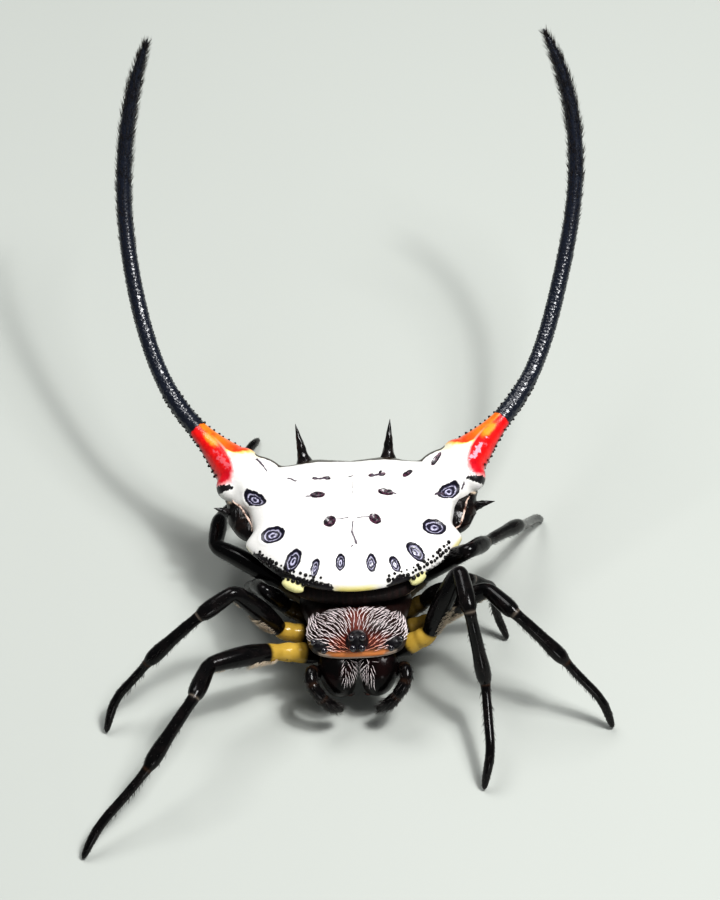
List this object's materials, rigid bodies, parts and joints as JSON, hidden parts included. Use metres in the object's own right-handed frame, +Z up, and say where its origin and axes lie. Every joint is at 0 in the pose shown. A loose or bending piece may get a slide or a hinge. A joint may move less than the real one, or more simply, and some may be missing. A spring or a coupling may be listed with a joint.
{
  "type": "spiny orb weaver spider",
  "caption": "Life-size still model of a long-horned spiny orb weaver: a white spotted abdominal shield with curved black horns, a hairy head and glossy jointed legs.",
  "frame": {"origin": "middle of the box of the whole, on the floor that the feet stand on", "axes": "+Z up; the spider faces -Y and its horns reach back to +Y; its own left is +X"},
  "size_m": [0.0162, 0.0222, 0.0125],
  "materials": {
    "shield_plate": "smooth hard white shell with dark oval pits and yellow at the front edge",
    "horn_base": "red to orange shell with small black bumps",
    "horn_shaft": "black shell with a bluish sheen, fine bumps and short bristles",
    "spine": "sharp black shell",
    "head_coat": "dark brown shell under short pale hairs",
    "jaw_shell": "glossy black-brown shell with pale hairs",
    "eye": "polished black bead",
    "leg_shell": "glossy black shell with fine bristles and paler joints",
    "dark_shell": "dark, finely folded shell"
  },
  "bodies": {
    "root": {"abdomen": "dark_shell", "carapace": "head_coat", "chelicera_left": "jaw_shell", "chelicera_right": "jaw_shell", "eye_middle_front_left": "eye", "eye_middle_front_right": "eye", "eye_middle_rear_left": "eye", "eye_middle_rear_right": "eye", "eye_side_front_left": "eye", "eye_side_front_right": "eye", "eye_side_rear_left": "eye", "eye_side_rear_right": "eye", "fang_left": "jaw_shell", "fang_right": "jaw_shell", "horn_left_base": "horn_base", "horn_left_shaft": "horn_shaft", "horn_left_tip": "horn_shaft", "horn_right_base": "horn_base", "horn_right_shaft": "horn_shaft", "horn_right_tip": "horn_shaft", "leg_1_left_femur": "leg_shell", "leg_1_left_foot": "leg_shell", "leg_1_left_tibia": "leg_shell", "leg_1_right_femur": "leg_shell", "leg_1_right_foot": "leg_shell", "leg_1_right_tibia": "leg_shell", "leg_2_left_femur": "leg_shell", "leg_2_left_foot": "leg_shell", "leg_2_left_tibia": "leg_shell", "leg_2_right_femur": "leg_shell", "leg_2_right_foot": "leg_shell", "leg_2_right_tibia": "leg_shell", "leg_3_left_femur": "leg_shell", "leg_3_left_foot": "leg_shell", "leg_3_left_tibia": "leg_shell", "leg_3_right_femur": "leg_shell", "leg_3_right_foot": "leg_shell", "leg_3_right_tibia": "leg_shell", "leg_4_left_femur": "leg_shell", "leg_4_left_foot": "leg_shell", "leg_4_left_tibia": "leg_shell", "leg_4_right_femur": "leg_shell", "leg_4_right_foot": "leg_shell", "leg_4_right_tibia": "leg_shell", "pedicel": "dark_shell", "pedipalp_left": "dark_shell", "pedipalp_right": "dark_shell", "shield": "shield_plate", "spine_front_left": "spine", "spine_front_right": "spine", "spine_rear_left": "spine", "spine_rear_right": "spine", "spinnerets": "dark_shell", "sternum": "dark_shell"}
  },
  "joints": []
}
